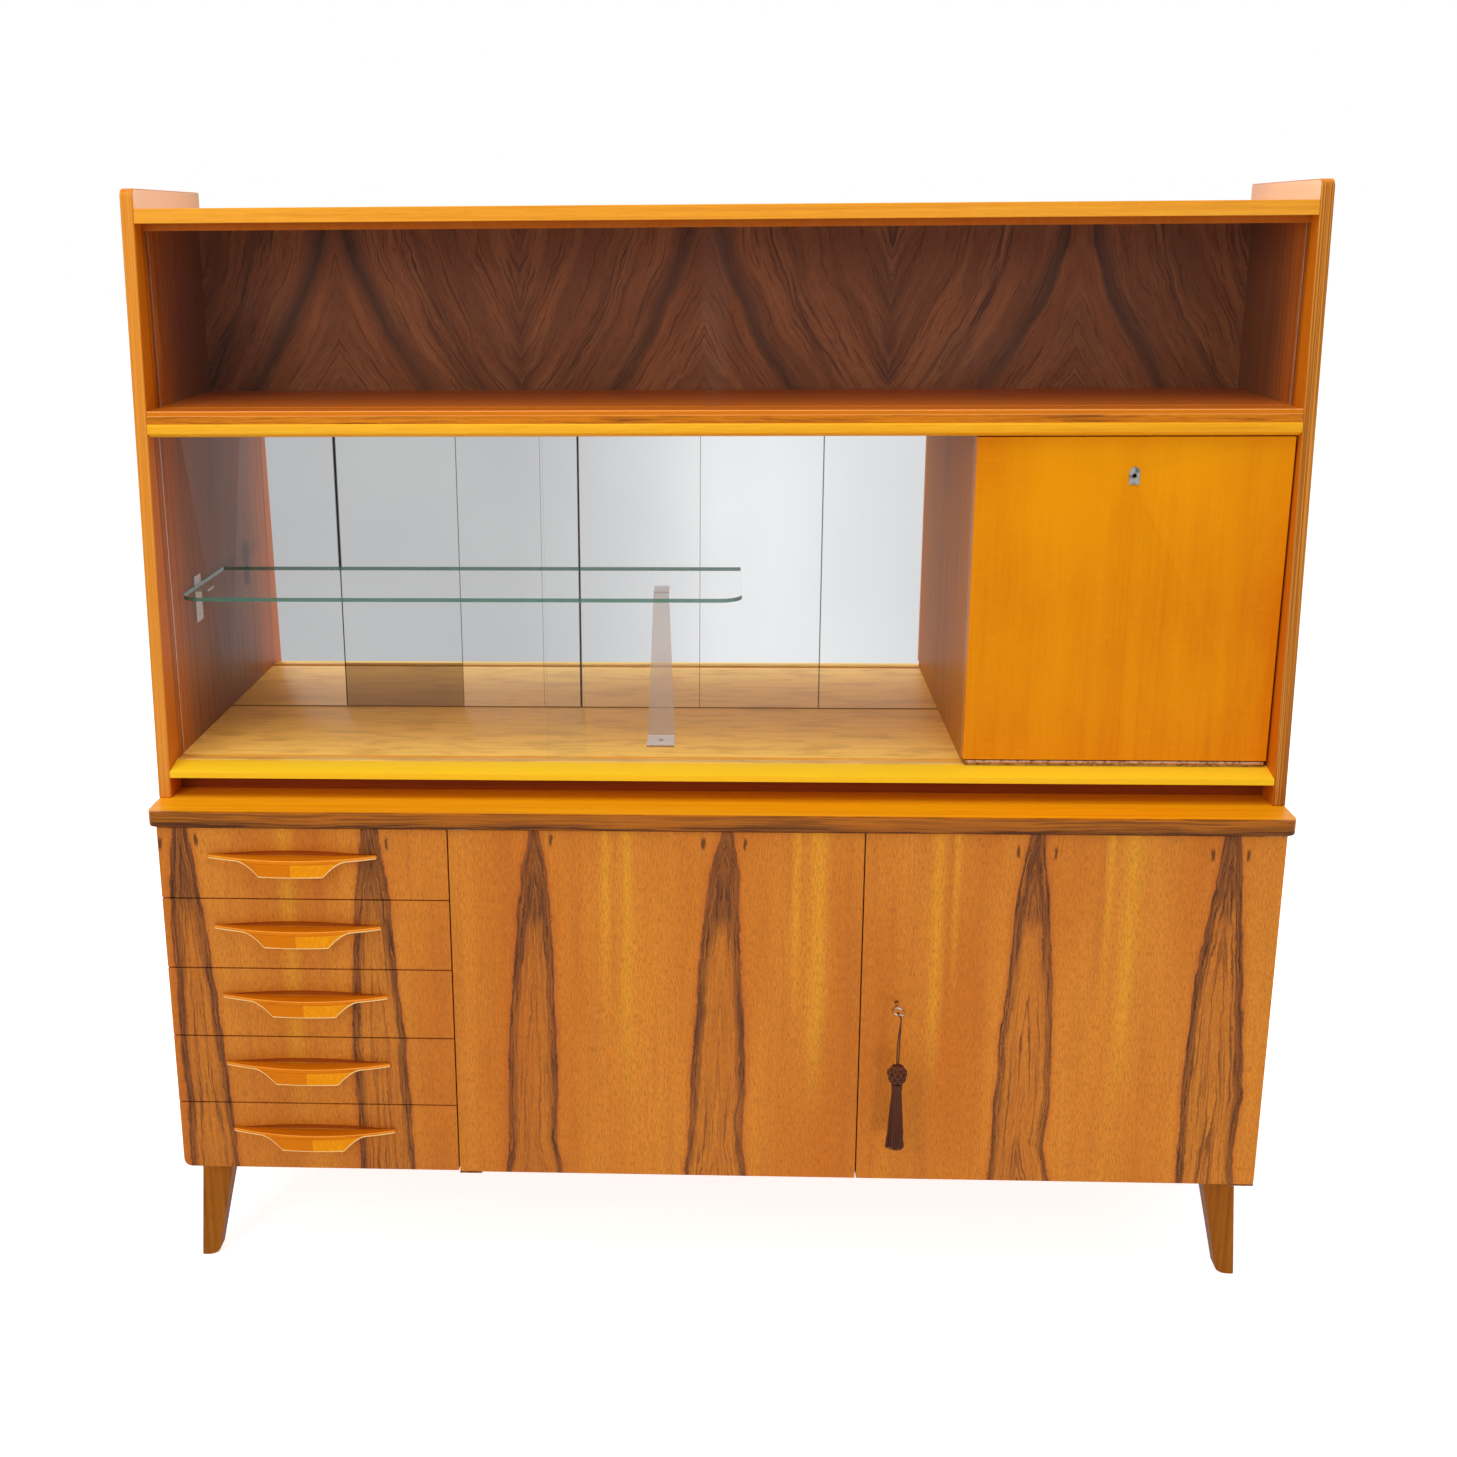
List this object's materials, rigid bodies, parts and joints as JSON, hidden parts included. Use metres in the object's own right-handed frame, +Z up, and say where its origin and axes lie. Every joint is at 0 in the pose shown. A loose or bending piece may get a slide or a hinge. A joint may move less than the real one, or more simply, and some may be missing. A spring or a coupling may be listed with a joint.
{
  "type": "credenza",
  "caption": "Two-stage wooden credenza: drawers and hinged doors on splayed legs below, sliding glass display sections and a drop-flap bar above.",
  "frame": {"origin": "centre of the bounding box's base: on the floor, in the middle of the width, halfway between the back and the key's front", "axes": "+X to the right seen from the front, +Y from the front to the back, +Z up"},
  "size_m": [1.656, 0.5101, 1.634],
  "materials": {
    "front_veneer": "figured rosewood-like veneer, satin lacquer",
    "ledge_wood": "orange veneer, satin lacquer",
    "light_wood": "light solid edging, satin lacquer",
    "side_wood": "orange-brown veneer, satin lacquer",
    "handle_wood": "carved solid wood, satin lacquer",
    "leg_wood": "solid wood, satin lacquer",
    "dark_back": "dark figured veneer, satin lacquer",
    "plinth_wood": "red-brown stained wood",
    "box_wood": "plain pale wood",
    "clear_glass": "clear, ground edges",
    "clear_plastic": "clear, polished",
    "mirror": "silvered glass strips",
    "hinge_metal": "worn brass plate",
    "lock_metal": "plain steel",
    "key_nickel": "nickel plate",
    "yarn": "dark brown twisted yarn"
  },
  "bodies": {
    "cabinet": {"ledge_top": "ledge_wood", "lower_sides": "side_wood", "lower_bottom": "side_wood", "lower_back": "box_wood", "lower_dividers": "box_wood", "drawer_runners": "box_wood", "lower_shelves": "box_wood", "legs": "leg_wood", "pivot_plates": "hinge_metal", "upper_side_left": "side_wood", "upper_side_right": "side_wood", "top_board": "light_wood", "mid_board": "ledge_wood", "mid_moulding": "light_wood", "partition": "side_wood", "base_board": "light_wood", "plinth": "plinth_wood", "figured_back": "dark_back", "display_back": "dark_back", "mirror_strips": "mirror", "glass_shelf": "clear_glass", "shelf_clips": "clear_plastic", "shelf_strap": "clear_plastic", "glass_tracks": "side_wood", "hinge_leaf_base": "hinge_metal", "stay_tracks": "lock_metal"},
    "door_middle": {"door_middle": "front_veneer", "pivots_middle": "hinge_metal"},
    "door_right": {"door_right": "front_veneer", "pivots_right": "hinge_metal", "door_lock": "lock_metal", "tassel_cord": "yarn", "tassel": "yarn"},
    "door_key": {"door_key": "key_nickel"},
    "lock_bolt": {"lock_bolt": "lock_metal"},
    "bar_flap": {"bar_flap": "ledge_wood", "hinge_leaf_flap": "hinge_metal", "flap_lock": "lock_metal", "stay_brackets": "lock_metal"},
    "stay_arm_left": {"stay_arm_left": "lock_metal"},
    "stay_arm_right": {"stay_arm_right": "lock_metal"},
    "upper_pane_left": {"upper_pane_left": "clear_glass"},
    "upper_pane_right": {"upper_pane_right": "clear_glass"},
    "lower_pane_left": {"lower_pane_left": "clear_glass"},
    "lower_pane_right": {"lower_pane_right": "clear_glass"},
    "drawer_1": {"drawer_front_1": "front_veneer", "drawer_box_1": "box_wood", "drawer_handle_1": "handle_wood"},
    "drawer_2": {"drawer_front_2": "front_veneer", "drawer_box_2": "box_wood", "drawer_handle_2": "handle_wood"},
    "drawer_3": {"drawer_front_3": "front_veneer", "drawer_box_3": "box_wood", "drawer_handle_3": "handle_wood"},
    "drawer_4": {"drawer_front_4": "front_veneer", "drawer_box_4": "box_wood", "drawer_handle_4": "handle_wood"},
    "drawer_5": {"drawer_front_5": "front_veneer", "drawer_box_5": "box_wood", "drawer_handle_5": "handle_wood"}
  },
  "joints": [
    {"name": "drawer_1_slide", "type": "slide", "parent": "cabinet", "child": "drawer_1", "axis": [0, -1, 0], "range_m": [0, 0.3]},
    {"name": "drawer_2_slide", "type": "slide", "parent": "cabinet", "child": "drawer_2", "axis": [0, -1, 0], "range_m": [0, 0.3]},
    {"name": "drawer_3_slide", "type": "slide", "parent": "cabinet", "child": "drawer_3", "axis": [0, -1, 0], "range_m": [0, 0.3]},
    {"name": "drawer_4_slide", "type": "slide", "parent": "cabinet", "child": "drawer_4", "axis": [0, -1, 0], "range_m": [0, 0.3]},
    {"name": "drawer_5_slide", "type": "slide", "parent": "cabinet", "child": "drawer_5", "axis": [0, -1, 0], "range_m": [0, 0.3]},
    {"name": "door_middle_swing", "type": "hinge", "parent": "cabinet", "child": "door_middle", "pos_m": [-0.3823, -0.1975, 0.464], "axis": [0, 0, -1], "range_deg": [0, 90]},
    {"name": "door_right_swing", "type": "hinge", "parent": "cabinet", "child": "door_right", "pos_m": [0.811, -0.1975, 0.464], "axis": [0, 0, 1], "range_deg": [0, 100]},
    {"name": "key_turn", "type": "hinge", "parent": "door_right", "child": "door_key", "pos_m": [0.271, -0.2015, 0.4775], "axis": [0, -1, 0], "range_deg": [0, 90]},
    {"name": "bolt_slide", "type": "slide", "parent": "door_right", "child": "lock_bolt", "axis": [-1, 0, 0], "range_m": [0, 0.008]},
    {"name": "flap_drop", "type": "hinge", "parent": "cabinet", "child": "bar_flap", "pos_m": [0.584, -0.0955, 0.818], "axis": [1, 0, 0], "range_deg": [0, 90]},
    {"name": "stay_left_turn", "type": "hinge", "parent": "bar_flap", "child": "stay_arm_left", "pos_m": [0.391, -0.0615, 1.0218], "axis": [1, 0, 0], "range_deg": [-169, 0]},
    {"name": "stay_right_turn", "type": "hinge", "parent": "bar_flap", "child": "stay_arm_right", "pos_m": [0.8045, -0.0615, 1.0218], "axis": [1, 0, 0], "range_deg": [-169, 0]},
    {"name": "upper_left_glass", "type": "slide", "parent": "cabinet", "child": "upper_pane_left", "axis": [1, 0, 0], "range_m": [0, 0.78]},
    {"name": "upper_right_glass", "type": "slide", "parent": "cabinet", "child": "upper_pane_right", "axis": [-1, 0, 0], "range_m": [0, 0.78]},
    {"name": "lower_left_glass", "type": "slide", "parent": "cabinet", "child": "lower_pane_left", "axis": [1, 0, 0], "range_m": [0, 0.555]},
    {"name": "lower_right_glass", "type": "slide", "parent": "cabinet", "child": "lower_pane_right", "axis": [-1, 0, 0], "range_m": [0, 0.55]}
  ],
  "couplings": [
    {"joint": "key_turn", "follows": "bolt_slide", "rad_per_m": 196.34},
    {"joint": "stay_left_turn", "follows": "flap_drop", "ratio": -1.866},
    {"joint": "stay_right_turn", "follows": "flap_drop", "ratio": -1.866}
  ]
}
